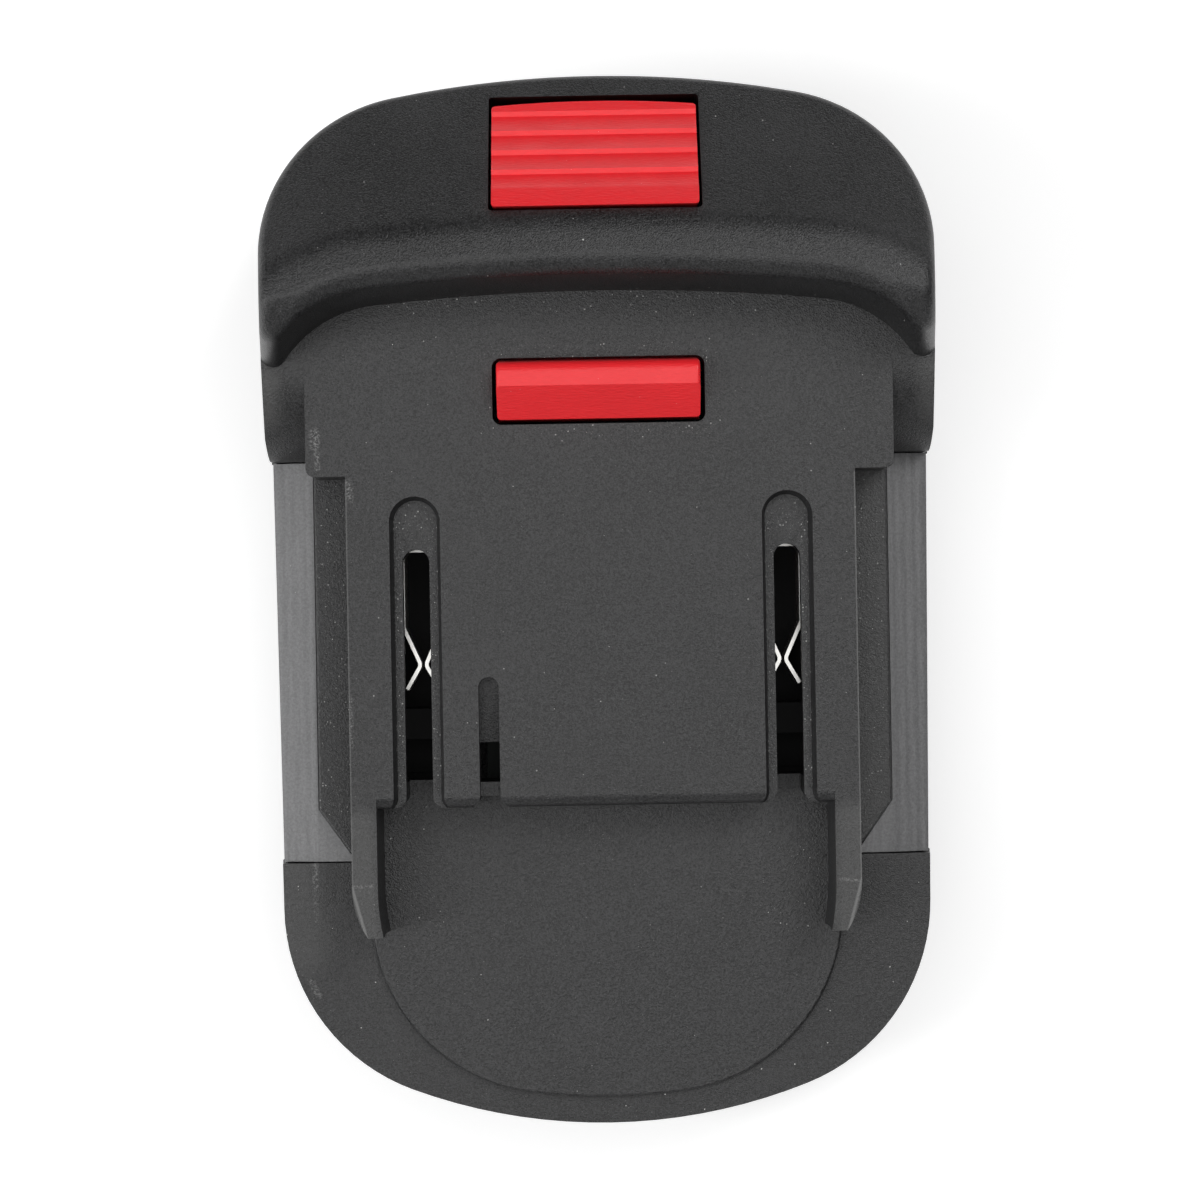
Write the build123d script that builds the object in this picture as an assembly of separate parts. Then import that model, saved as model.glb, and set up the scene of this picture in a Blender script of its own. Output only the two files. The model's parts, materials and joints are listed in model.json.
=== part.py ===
from build123d import *
import os
from math import atan2, cos, degrees, radians, sin, sqrt, tan

# Slide-on tool battery adapter. A tool slides over the rail plate on top, and a
# battery of another kind slides into the channel underneath.
# X is to the right, Y points to the hood, Z is up. The origin is the centre of the
# footprint, on the surface that the adapter stands on. All sizes are millimetres.

os.makedirs("parts", exist_ok=True)

# Rail plate, from the hood's foot to the rear
hood_depth = 23.9
wide_length = 19.9
narrow_length = 36.5
prong_length = 14.1
rear_margin = 22.1
neck_half = 26.4
lip_reach = 1.5
wide_reach = 4.3
prong_thickness = 1.3
prong_taper_length = 5.5
prong_taper_out = 1.65
prong_taper_in = 0.55
prong_draft = 0.3
plate_corner = 0.9
plate_round = 1.3
plate_skin = 4.2

# Plan outline of the casings, round the rail plate
shoulder_width = 5.0
waist_draw = 0.35
rear_draw = 0.55
front_arc = 116.0
front_corner = 18.5
rear_arc = 62.0
rear_corner = 22.0

# Heights, stacked from the floor up
channel_height = 10.5
ceiling = 2.0
seam_rise = 1.5
rim_rise = 6.3
deck_step = 1.2
rail_gap = 5.7
lip_thickness = 3.8
hood_rise = 12.0

# Walls, fits and the overrun of every cut
wall = 2.4
side_wall = 4.9
roof = 2.0
fit_gap = 0.15
thread_gap = 0.05
overrun = 2.0

# Front edge of the plate, which is the foot of the hood
foot_arc = 242.0
foot_corner = 13.5
foot_side = 14.1

# Hood, as a profile that follows its foot
hood_draft = 0.9
ridge_round = 2.2
band_angle = 8.0
band_length = 1.6
crease_round = 6.0
hood_slope = 37.0
lean_angle = 4.5
lobe_back = 8.5
lobe_length = 9.0
lobe_over = 0.1
lobe_round = 2.0
rim_round = 1.4

# Raised deck behind and beside the rails
deck_draw = 0.1
deck_neck_over = 0.3
deck_neck_length = 5.5
deck_back = 3.05
deck_arc = 64.0
deck_corner = 20.4
deck_corner_x = 6.0
deck_lead = 0.5
deck_round = 0.3

# Slots over the terminals
terminal_inset = 6.0
recess_width = 5.55
recess_depth = 2.0
recess_draft = 0.4
recess_length = 34.2
slot_width = 2.95
slot_length = 28.4
slot_sill = 2.7
slot_flare = 1.2

# Key slot beside the left terminal
key_inset = 7.8
key_width = 2.24
key_length = 14.3
key_ramp = 7.2
key_depth_front = 1.2
key_depth_rear = 2.6

# Release latch: button, bridge and tongue in one moulding
latch_half = 11.1
latch_gap = 0.35
latch_travel = 4.0
tongue_gap = 0.55
tongue_back = 7.8
tongue_length = 6.2
tongue_rise = 3.5
tongue_nose = 1.25
tongue_flat = 1.45
tongue_round = 0.4
tongue_pocket_round = 1.0
button_back = 3.43
button_length = 12.3
button_front_gap = 0.8
button_rise = 0.7
button_round = 0.4
button_arch = 0.5
bridge_thickness = 2.5
bridge_drop = 0.3
ear_half = 13.5
ear_lead = 1.0
ear_length = 5.5
button_wall = 2.2
rib_count = 4
rib_pitch = 2.3
rib_lead = 1.55
rib_fall = 0.3
rib_depth = 0.4

# Springs under the latch
spring_x = 8.0
spring_back = 2.0
spring_radius = 2.6
spring_wire = 0.6
spring_turns = 6
spring_gap = 0.2
peg_radius = 1.9
peg_gap = 0.75

# Side grips
grip_front_lead = 1.95
grip_length = 44.8
grip_low = 4.0
grip_depth = 2.0
grip_inset = 0.05
grip_rib_pitch = 1.15
grip_rib_count = 4
grip_rib_drop = 0.3
grip_rib_notch = 0.5
grip_side_ribs = 5
grip_side_pitch = 2.3
grip_side_notch = 0.3
grip_peg_radius = 1.5
grip_peg_length = 2.5
grip_peg_spread = 32.0

# Channel for the battery under the adapter
channel_wall = 5.8
foot_lip_reach = 4.4
foot_lip = 3.3
channel_back = 15.9
lower_grow = 0.55
lower_bevel = 0.35
bottom_round = 1.6
latch_pocket_half = 11.9
latch_pocket_length = 8.0
latch_pocket_back = 6.6
latch_pocket_rise = 4.5
pocket_skin = 1.5

# Blade terminals at the closed end of the channel
blade_side = 6.1
blade_thickness = 0.8
blade_height = 6.3
blade_length = 12.0
blade_low = 3.2
blade_tip = 1.2
blade_inset = 2.0
blade_tail_width = 4.0
blade_tail_rise = 1.7
holder_side = 1.1
holder_length = 8.0
holder_low = 2.4
flange_over = 4.2
flange_reach = 2.0

# Clip terminals under the slots
clip_leaf = 0.4
clip_half = 2.15
clip_draw = 0.3
clip_shoulder_back = 8.6
clip_pinch_back = 12.8
clip_flare_back = 15.5
clip_pinch_half = 0.28
clip_flare_half = 1.85
clip_rise = 6.0
clip_tab_length = 5.0
clip_corner = 0.8

# Plastic carriers of the clips
carrier_half = 3.6
carrier_wall = 1.1
carrier_base = 3.6
carrier_cheek = 3.9
carrier_cross_back = 17.7
carrier_cross_length = 3.5
carrier_length = 26.7
carrier_front = 1.6
carrier_ear = 5.4

# Protection board and what is soldered to it
board_side = 3.2
board_rear_gap = 7.1
board_thickness = 1.6
board_back = 6.4
board_corner = 1.5
standoff_rise = 2.1
standoff_radius = 2.2
board_screw_inset = 3.2
transistor_width = 6.5
transistor_length = 6.1
transistor_height = 2.3
transistor_tab = 1.1
transistor_lead = 0.8
transistor_leg_share = 0.62
chip_width = 3.9
chip_length = 4.9
chip_height = 1.5
chip_lead = 0.45
chip_lead_count = 4
chip_lead_reach = 1.0
capacitor_radius = 3.15
capacitor_height = 7.0
capacitor_base = 0.8
capacitor_round = 0.5

# Screws
casing_screw_inset_front = 3.35
casing_screw_back_front = 20.6
casing_screw_inset_rear = 12.3
casing_screw_back_rear = 11.9
casing_head_radius = 2.3
casing_head_height = 1.6
casing_head_sunk = 0.8
casing_shaft_radius = 1.25
casing_screw_length = 16.0
casing_boss_radius = 3.1
small_head_radius = 1.9
small_head_height = 1.3
small_shaft_radius = 0.95
small_screw_length = 4.6
drive_width = 0.5
drive_share = 0.62
drive_depth = 0.7

# Leads
lead_radius = 1.25
sense_radius = 0.55
lead_bend = 3.0
sense_bend = 2.5
lead_gap = 0.1
lead_start = 6.5
lead_corridor = 6.9
lead_turn = 4.5
lead_pad_x = 2.5
lead_pad_reach = 4.0
lead_out_x = 10.0
lead_out_reach = 5.6
sense_pad_x = 9.5
sense_pad_reach = 3.0

# Levels and places worked out from the sizes above
body_length = hood_depth + wide_length + narrow_length + prong_length + rear_margin
front_y = body_length / 2
rear_y = -body_length / 2
lip_half = neck_half + lip_reach
wide_half = lip_half + wide_reach
prong_inner = neck_half - prong_thickness
hood_half = wide_half + shoulder_width
foot_corner_x = hood_half - foot_side
waist_half = hood_half - waist_draw
rear_half = waist_half - rear_draw
deck_half = wide_half - deck_draw
deck_neck_half = lip_half + deck_neck_over
terminal_x = neck_half - terminal_inset
clip_x = terminal_x - clip_draw
key_x = terminal_x - key_inset
channel_half = waist_half - channel_wall
mouth_half = channel_half - foot_lip_reach
blade_x = mouth_half - blade_side
holder_half = mouth_half - holder_side
board_half = clip_x - carrier_half - board_side
casing_screw_x_front = hood_half - casing_screw_inset_front
casing_screw_x_rear = rear_half - casing_screw_inset_rear
cavity_z = channel_height + ceiling
seam_z = cavity_z + seam_rise
rim_z = seam_z + rim_rise
deck_z = rim_z + deck_step
lip_z = deck_z + rail_gap
plate_z = lip_z + lip_thickness
crest_z = plate_z + hood_rise
plate_cavity_z = plate_z - plate_skin
foot_y = front_y - hood_depth
wide_rear_y = foot_y - wide_length
plate_rear_y = wide_rear_y - narrow_length
prong_tip_y = plate_rear_y - prong_length
crest_y = foot_y + hood_draft + ridge_round
grip_front_y = wide_rear_y + grip_front_lead
grip_rear_y = grip_front_y - grip_length
slot_rear_y = plate_rear_y + slot_sill
slot_front_y = plate_rear_y + slot_length
key_front_y = plate_rear_y + key_length
tongue_front_y = foot_y - tongue_back
tongue_rear_y = tongue_front_y - tongue_length
button_front_y = front_y - button_back
button_rear_y = button_front_y - button_length
bridge_top_z = plate_cavity_z - bridge_drop
bridge_z = bridge_top_z - bridge_thickness
spring_y = foot_y - spring_back
peg_height = (bridge_z - cavity_z - latch_travel) / 2 - peg_gap
channel_rear_y = rear_y + channel_back
holder_front_y = channel_rear_y + holder_length
standoff_z = cavity_z + standoff_rise
flange_z = standoff_z + board_thickness
board_front_y = slot_front_y + board_back
board_rear_y = holder_front_y + flange_reach + board_rear_gap
board_length = board_front_y - board_rear_y
inner_half = waist_half - grip_depth - side_wall
carrier_top_z = cavity_z + carrier_base
clip_top_z = carrier_top_z + clip_rise
carrier_front_y = slot_front_y + carrier_front
carrier_rear_y = carrier_front_y - carrier_length
blade_rear_y = channel_rear_y + blade_inset
screw_seat_z = casing_head_sunk + casing_head_height


def slab(face, low, high):
    """Extrude a plan face between two heights."""
    return extrude(Pos(0, 0, low) * face, amount=high - low)


def block(x_low, x_high, y_low, y_high, z_low, z_high):
    """A box between two corners."""
    middle = Pos((x_low + x_high) / 2, (y_low + y_high) / 2, (z_low + z_high) / 2)
    return middle * Box(x_high - x_low, y_high - y_low, z_high - z_low)


def rod(x, y, radius, low, high):
    """An upright cylinder between two heights."""
    return Pos(x, y, (low + high) / 2) * Cylinder(radius, high - low)


def across(points_or_face, half):
    """Extrude a side view, drawn as Y and Z, to both sides of the middle plane."""
    return extrude(Plane.YZ * points_or_face, amount=half, both=True)


def mirrored(shape):
    """The same shape on the other side of the middle plane."""
    return mirror(shape, about=Plane.YZ)


def pair(shape):
    """A shape and its mirror image."""
    return shape + mirrored(shape)


def closed_plan(right_edges):
    """A plan face from the edges of its right half."""
    left_edges = [mirror(edge, about=Plane.YZ) for edge in right_edges]
    return make_face(right_edges + left_edges)


def rear_corner_place():
    """Y where the straight side meets the rear corner, and that corner's angle."""
    rear_x = rear_half - rear_corner
    rear_centre = rear_y + rear_arc
    corner_y = rear_centre - sqrt((rear_arc - rear_corner) ** 2 - rear_x ** 2)
    return corner_y, degrees(atan2(corner_y - rear_centre, rear_x))


def outline(grow=0.0):
    """Plan outline of the casings, moved outward by grow."""
    corner_x = hood_half - front_corner
    front_centre = front_y - front_arc
    corner_y = front_centre + sqrt((front_arc - front_corner) ** 2 - corner_x ** 2)
    front_angle = degrees(atan2(corner_y - front_centre, corner_x))
    rear_corner_y, rear_angle = rear_corner_place()
    side = [
        (hood_half + grow, corner_y),
        (hood_half + grow, grip_front_y + plate_z - rim_z),
        (waist_half + grow, grip_front_y),
        (rear_half + grow, rear_corner_y),
    ]
    edges = [
        CenterArc((0, front_centre), front_arc + grow, front_angle, 90 - front_angle),
        CenterArc((corner_x, corner_y), front_corner + grow, 0, front_angle),
        CenterArc((rear_half - rear_corner, rear_corner_y), rear_corner + grow, rear_angle, -rear_angle),
        CenterArc((0, rear_y + rear_arc), rear_arc + grow, -90, rear_angle + 90),
    ]
    edges += [Line(start, end) for start, end in zip(side, side[1:])]
    return closed_plan(edges)


def leaning_walls(inset=0.0):
    """The outline as a block whose walls lean in above the lips' level."""
    plan = outline(-inset)
    low_z = seam_z - (overrun if inset else 0)
    upper = extrude(Pos(0, 0, lip_z) * plan, amount=crest_z + overrun - lip_z, taper=lean_angle)
    return slab(plan, low_z, lip_z) + upper


def foot_curve():
    """Centres of the foot's front arc and right corner arc, and the angle where they meet."""
    centre_y = foot_y - foot_arc
    corner_y = centre_y + sqrt((foot_arc - foot_corner) ** 2 - foot_corner_x ** 2)
    angle = degrees(atan2(corner_y - centre_y, foot_corner_x))
    return centre_y, corner_y, angle


def deck_area(grow=0.0):
    """Plan of the raised deck."""
    arc_y = rear_y + deck_back + deck_arc
    corner_y = arc_y - sqrt((deck_arc - deck_corner) ** 2 - deck_corner_x ** 2)
    angle = degrees(atan2(corner_y - arc_y, deck_corner_x))
    chamfer_y = plate_rear_y - deck_lead
    neck_y = chamfer_y - deck_neck_length
    side = [
        (0, foot_y),
        (deck_half + grow, foot_y),
        (deck_half + grow, chamfer_y),
        (deck_neck_half + grow, neck_y),
        (deck_corner_x + deck_corner + grow, corner_y),
    ]
    edges = [
        CenterArc((deck_corner_x, corner_y), deck_corner + grow, angle, -angle),
        CenterArc((0, arc_y), deck_arc + grow, -90, angle + 90),
    ]
    edges += [Line(start, end) for start, end in zip(side, side[1:])]
    return closed_plan(edges)


def raised_deck():
    """The raised deck with its rounded top edge."""
    deck = slab(deck_area(), rim_z - overrun, deck_z)
    return fillet(deck.edges().group_by(Axis.Z)[-1], deck_round)


def hood_points(out=0.0):
    """Key points of the hood's profile, as distance from the foot and height, lifted by out."""
    band = radians(band_angle)
    slope = radians(hood_slope)
    ridge_d = hood_draft + ridge_round
    ridge_z = crest_z - ridge_round
    lift = ridge_round + out
    band_start = (ridge_d + lift * sin(band), ridge_z + lift * cos(band))
    band_end = (band_start[0] + band_length * cos(band), band_start[1] - band_length * sin(band))
    turn_d = band_end[0] - (crease_round + out) * sin(band)
    turn_z = band_end[1] - (crease_round + out) * cos(band)
    slope_start = (turn_d + (crease_round + out) * sin(slope), turn_z + (crease_round + out) * cos(slope))
    return (ridge_d, ridge_z), band_start, band_end, (turn_d, turn_z), slope_start


def hood_profile(inset=0.0):
    """Hood profile over the distance from its foot, or its hollow when inset is a wall."""
    ridge, band_start, band_end, turn, slope_start = hood_points(-inset)
    low_z = seam_z - (overrun if inset else 0)
    end_d = hood_depth + front_corner + overrun
    end = (end_d, slope_start[1] - (end_d - slope_start[0]) * tan(radians(hood_slope)))
    wall_d = hood_draft + inset
    if inset:
        top_z = band_start[1] + (band_start[0] - wall_d) * tan(radians(band_angle))
        top = [Line((wall_d, top_z), band_end)]
        wall_top = (wall_d, top_z)
    else:
        top = [
            CenterArc(ridge, ridge_round, 90 - band_angle, 90 + band_angle),
            Line(band_start, band_end),
        ]
        wall_top = (wall_d, ridge[1])
    edges = top + [
        CenterArc(turn, crease_round - inset, 90 - hood_slope, hood_slope - band_angle),
        Line(slope_start, end),
        Line(end, (end_d, low_z)),
        Line((end_d, low_z), (inset, low_z)),
        Line((inset, low_z), (inset, plate_z)),
        Line((inset, plate_z), wall_top),
    ]
    return make_face(edges)


def swept_hood(x, y, radius, start_angle, arc, inset):
    """The hood profile turned about an upright axis, with the foot at radius."""
    aim = radians(start_angle)
    outward = (cos(aim), sin(aim), 0)
    plane = Plane(origin=(x, y, 0), x_dir=outward, z_dir=(sin(aim), -cos(aim), 0))
    face = plane * (Pos(radius, 0) * hood_profile(inset))
    return revolve(face, axis=Axis((x, y, 0), (0, 0, 1)), revolution_arc=arc)


def hood_block(inset=0.0):
    """The hood as a block, or the hollow inside it when inset is a wall."""
    centre_y, corner_y, angle = foot_curve()
    corner = swept_hood(foot_corner_x, corner_y, foot_corner, 0, angle, inset)
    middle = swept_hood(0, centre_y, foot_arc, angle, 2 * (90 - angle), inset)
    lobe_y = foot_y - lobe_back + inset
    lobe_end_y = foot_y - lobe_back + lobe_length
    low_z = seam_z - overrun
    top_z = crest_z + lobe_over - inset
    far_y = front_y + overrun
    side = make_face([
        EllipticalCenterArc((lobe_end_y, plate_z), lobe_length - inset, top_z - plate_z, 90, arc_size=90),
        Line((lobe_end_y, top_z), (far_y, top_z)),
        Line((far_y, top_z), (far_y, low_z)),
        Line((far_y, low_z), (lobe_y, low_z)),
        Line((lobe_y, low_z), (lobe_y, plate_z)),
    ])
    hood = (pair(corner) + middle) & leaning_walls(inset)
    return hood & across(side, hood_half + overrun)


def rounded_hood():
    """The hood with its lobes rounded, and its top rounded into the walls along the outline."""
    hood = hood_block()
    lobe_tops = hood.faces().filter_by(GeomType.EXTRUSION)
    creases = [min(face.edges(), key=lambda edge: abs(edge.center().X)) for face in lobe_tops]
    hood = fillet(creases, lobe_round)
    rim = hood.edges().sort_by_distance(Vector(0, *slope_point(front_y)))[0]
    return fillet(rim, rim_round)


def shoulders():
    """The band that rolls down from the plate to the grips."""
    roll = plate_z - rim_z
    edges = [
        CenterArc((grip_front_y + roll, rim_z), roll, 90, 90),
        Line((grip_front_y, rim_z), (grip_front_y, seam_z)),
        Line((grip_front_y, seam_z), (crest_y, seam_z)),
        Line((crest_y, seam_z), (crest_y, plate_z)),
        Line((crest_y, plate_z), (grip_front_y + roll, plate_z)),
    ]
    return leaning_walls() & across(make_face(edges), hood_half + overrun)


def slot_face(x, width, y_rear, y_front):
    """A slot in plan, square at the rear and round at the front."""
    radius = width / 2
    straight = Pos(x, (y_rear + y_front - radius) / 2) * Rectangle(width, y_front - radius - y_rear)
    return straight + Pos(x, y_front - radius) * Circle(radius)


def mouth_face(x, width, radius, draw=0.0):
    """The open rear end of a slot in plan, with rounded corners that draw fills in."""
    side = width / 2 + radius
    top_y = plate_rear_y + radius
    opening = Pos(x, top_y - (overrun + radius) / 2) * Rectangle(2 * side, overrun + radius)
    corner = Circle(radius + draw)
    corners = Pos(x - side, top_y) * corner + Pos(x + side, top_y) * corner
    return opening - corners


def prong_face(outer, inner):
    """Plan of a right prong between two lines, curved inward near its tip."""
    root_y = plate_rear_y + plate_round
    bend_y = prong_tip_y + prong_taper_length
    outer_tip = (outer - prong_taper_out, prong_tip_y)
    inner_tip = (inner - prong_taper_in, prong_tip_y)
    return make_face([
        Line((outer, root_y), (inner, root_y)),
        Line((inner, root_y), (inner, bend_y)),
        TangentArc((inner, bend_y), inner_tip, tangent=(0, -1)),
        Line(inner_tip, outer_tip),
        TangentArc((outer, bend_y), outer_tip, tangent=(0, -1)),
        Line((outer, bend_y), (outer, root_y)),
    ])


def prong():
    """One of the two rail ends that stand behind the plate."""
    high = plate_z - rim_z
    draft = degrees(atan2(prong_draft, high))
    foot = prong_face(neck_half + prong_draft, prong_inner - prong_draft)
    web = extrude(Pos(0, 0, rim_z) * foot, amount=high, taper=draft)
    under_lip = block(0, neck_half, prong_tip_y - overrun, plate_rear_y + plate_round, rim_z, plate_z)
    return (web & under_lip) + slab(prong_face(lip_half, prong_inner), lip_z, plate_z)


def rail_plate():
    """The plate with its neck and lips, before anything is cut into it."""
    wide = Pos(0, (wide_rear_y + foot_y) / 2) * Rectangle(2 * wide_half, foot_y - wide_rear_y)
    wide = slab(wide, seam_z, plate_z)
    rear_corners = wide.edges().filter_by(Axis.Z).group_by(Axis.Y)[0]
    wide = fillet(rear_corners, plate_corner)
    neck = block(-neck_half, neck_half, plate_rear_y, foot_y, rim_z, plate_z)
    lips = block(-lip_half, lip_half, plate_rear_y, foot_y, lip_z, plate_z)
    plate = neck + lips
    rear_edge = plate.edges().filter_by(Axis.X).group_by(Axis.Y)[0].sort_by(Axis.Z)[-1]
    plate = fillet(rear_edge, plate_round)
    return plate + wide + pair(prong())


def key_slot():
    """The narrow slot with a floor that falls to the rear."""
    ramp_rear_y = key_front_y - key_ramp
    floor = make_face(Polyline(
        (plate_rear_y - overrun, plate_z + overrun),
        (key_front_y, plate_z + overrun),
        (key_front_y, plate_z - key_depth_front),
        (ramp_rear_y, plate_z - key_depth_rear),
        (plate_rear_y - overrun, plate_z - key_depth_rear),
        close=True,
    ))
    plan = slot_face(-key_x, key_width, plate_rear_y - overrun, key_front_y)
    ramp = slab(plan, deck_z, plate_z + overrun) & across(floor, hood_half)
    hole = slab(
        Pos(-key_x, (slot_rear_y + ramp_rear_y) / 2) * Rectangle(key_width, ramp_rear_y - slot_rear_y),
        seam_z, plate_z + overrun)
    mouth = mouth_face(-key_x, key_width, slot_flare)
    return ramp + hole + slab(mouth, deck_z, plate_z + overrun)


def terminal_slot():
    """Recess, slot and rear mouth over the right terminal."""
    recess_end = plate_rear_y + recess_length - recess_draft
    recess = slot_face(
        terminal_x, recess_width - 2 * recess_draft, plate_rear_y - overrun, recess_end)
    slot = slot_face(terminal_x, slot_width, slot_rear_y, slot_front_y)
    way_out = slot_face(terminal_x, slot_width, plate_rear_y - overrun, slot_front_y)
    way_out += mouth_face(terminal_x, slot_width, slot_flare)
    recess += mouth_face(terminal_x, recess_width, slot_flare, recess_draft)
    draft = degrees(atan2(recess_draft, recess_depth))
    cut = extrude(Pos(0, 0, plate_z - recess_depth) * recess, amount=recess_depth, taper=-draft)
    cut += slab(slot, seam_z, plate_z + overrun)
    cut += slab(way_out, deck_z, plate_z + overrun)
    return cut


def latch_pockets():
    """The two openings that the latch moves in."""
    tongue = RectangleRounded(
        2 * (latch_half + tongue_gap), tongue_length + 2 * tongue_gap, tongue_pocket_round)
    tongue = Pos(0, (tongue_front_y + tongue_rear_y) / 2) * tongue
    front = button_front_y + button_front_gap
    rear = button_rear_y - latch_gap
    button = RectangleRounded(2 * (latch_half + latch_gap), front - rear, button_round)
    button = Pos(0, (front + rear) / 2) * button
    top = crest_z + overrun
    return slab(tongue, seam_z, top) + slab(button, seam_z, top)


def grip_plan(grow=0.0):
    """Plan of the right grip, between the deck and the outside, opened up by grow."""
    reach = hood_half + overrun
    middle = Pos(reach / 2, (grip_rear_y + grip_front_y) / 2)
    return middle * Rectangle(reach, grip_length + 2 * grow) - deck_area(fit_gap - grow)


def along_side(face):
    """Extrude a cross-section at the grip's front both ways, along the casing's right side."""
    way = Vector(-rear_draw, rear_corner_place()[0] - grip_front_y, 0)
    return extrude(Pos(0, grip_front_y) * face, amount=grip_length + overrun, dir=way, both=True)


def grip_pocket(grow):
    """The step in the right side that a grip fills, opened up by grow."""
    core_x = waist_half - grip_depth - grow
    core_z = rim_z - grip_depth - grow
    core = Plane.XZ * (Pos(core_x / 2, core_z / 2) * Rectangle(core_x, core_z))
    return slab(grip_plan(grow), grip_low - grow, rim_z + overrun) - along_side(core)


def casing_screw_places():
    """Centres of the casing screws on the right side."""
    return [
        (casing_screw_x_front, front_y - casing_screw_back_front),
        (casing_screw_x_rear, rear_y + casing_screw_back_rear),
    ]


def grip_peg_places():
    """Y and Z of the pegs that hold a grip."""
    middle_y = (grip_front_y + grip_rear_y) / 2
    peg_z = seam_z + grip_peg_radius + wall / 2
    return [(middle_y - grip_peg_spread / 2, peg_z), (middle_y + grip_peg_spread / 2, peg_z)]


def grip_pegs(radius, reach):
    """Pegs that point into the casing from the right grip."""
    root_x = waist_half - grip_depth
    pegs = []
    for y, z in grip_peg_places():
        peg = Pos(root_x - reach / 2, y, z) * Rot(0, 90, 0) * Cylinder(radius, reach)
        pegs.append(peg)
    return pegs[0] + pegs[1]


def upper_cavity():
    """The hollow inside the upper casing."""
    low = seam_z - overrun
    plan = outline(-wall) & Rectangle(2 * inner_half, 2 * body_length)
    behind = Pos(0, foot_y - body_length) * Rectangle(2 * body_length, 2 * body_length)
    base = slab(plan & behind, low, rim_z - roof) - pair(slab(grip_plan(wall / 2), low, rim_z))
    under_deck = slab(deck_area(-wall), low, deck_z - roof)
    under_plate = block(
        -neck_half + wall, neck_half - wall,
        slot_rear_y, foot_y + wall + overrun, low, plate_cavity_z)
    under_wide = block(
        -inner_half, inner_half,
        wide_rear_y + wall, foot_y - wall, low, plate_cavity_z)
    return base + under_deck + under_plate + under_wide + hood_block(wall)


def upper_casing():
    """Top moulding: rim, deck, rail plate, shoulders and hood."""
    shell = slab(outline(), seam_z, rim_z)
    shell += raised_deck()
    shell += shoulders() + rail_plate() + rounded_hood()
    shell -= upper_cavity()
    for x, y in casing_screw_places():
        boss_top = seam_z + casing_screw_length if y > 0 else rim_z - roof / 2
        inside = outline(-roof / 2)
        boss = rod(x, y, casing_boss_radius, seam_z, boss_top) & slab(inside, seam_z, boss_top)
        shell += pair(boss)
        screw_top = screw_seat_z + casing_screw_length + thread_gap
        shell -= pair(rod(x, y, casing_shaft_radius + thread_gap, seam_z - overrun, screw_top))
    shell -= pair(terminal_slot())
    shell -= key_slot()
    shell -= latch_pockets()
    shell -= pair(grip_pocket(fit_gap))
    shell -= pair(grip_pegs(grip_peg_radius + thread_gap, grip_peg_length + thread_gap))
    return shell


def small_screw_places():
    """Centres of the small screws and of the posts that they go into."""
    holder_y = (channel_rear_y + holder_front_y) / 2
    holder_x = holder_half + flange_over / 2
    ear_y = carrier_rear_y - carrier_ear / 2
    inset_x = board_half - board_screw_inset
    return [
        (-holder_x, holder_y),
        (holder_x, holder_y),
        (-clip_x, ear_y),
        (clip_x, ear_y),
        (-inset_x, board_front_y - board_screw_inset),
        (inset_x, board_rear_y + board_screw_inset),
    ]


def lower_casing():
    """Bottom moulding with the channel for the battery below."""
    shell = slab(outline(lower_grow), 0, seam_z)
    shell = fillet(shell.edges().group_by(Axis.Z)[0], bottom_round)
    shell = chamfer(shell.edges().group_by(Axis.Z)[-1], lower_bevel)
    ahead = Pos(0, foot_y + body_length) * Rectangle(2 * body_length, 2 * body_length)
    hollow = (outline(-wall) & Rectangle(2 * inner_half, 2 * body_length)) + (outline(-wall) & ahead)
    shell -= slab(hollow, cavity_z, seam_z + overrun)
    behind = Pos(0, channel_rear_y - wall - body_length) * Rectangle(2 * inner_half, 2 * body_length)
    shell -= slab(outline(-wall) & behind, wall, seam_z + overrun)
    pocket_front_y = front_y - latch_pocket_back
    pocket_rear_y = pocket_front_y - latch_pocket_length
    pocket_z = channel_height + latch_pocket_rise
    shell += block(
        -latch_pocket_half - pocket_skin, latch_pocket_half + pocket_skin,
        pocket_rear_y - pocket_skin, pocket_front_y + pocket_skin,
        channel_height, pocket_z + pocket_skin)
    for x, y in casing_screw_places():
        shell += pair(rod(x, y, casing_boss_radius, bottom_round, seam_z))
    for x, y in small_screw_places():
        shell += rod(x, y, standoff_radius, channel_height, standoff_z)
    shell += pair(rod(spring_x, spring_y, peg_radius, channel_height, cavity_z + peg_height))
    end_y = front_y + overrun
    shell -= block(-mouth_half, mouth_half, channel_rear_y, end_y, -overrun, channel_height)
    shell -= block(-channel_half, channel_half, channel_rear_y, end_y, foot_lip, channel_height)
    shell -= block(
        -latch_pocket_half, latch_pocket_half,
        pocket_rear_y, pocket_front_y, channel_height - overrun, pocket_z)
    shell -= block(
        -holder_half - fit_gap, holder_half + fit_gap,
        channel_rear_y, holder_front_y + fit_gap, channel_height - overrun, seam_z + overrun)
    for x, y in casing_screw_places():
        shell -= pair(rod(x, y, casing_head_radius + fit_gap, -overrun, screw_seat_z))
        shell -= pair(rod(x, y, casing_shaft_radius + fit_gap, 0, seam_z + overrun))
    for x, y in small_screw_places():
        tip_z = flange_z - small_screw_length - thread_gap
        shell -= rod(x, y, small_shaft_radius + thread_gap, tip_z, standoff_z + overrun)
    return shell - pair(grip_pocket(fit_gap))


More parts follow.
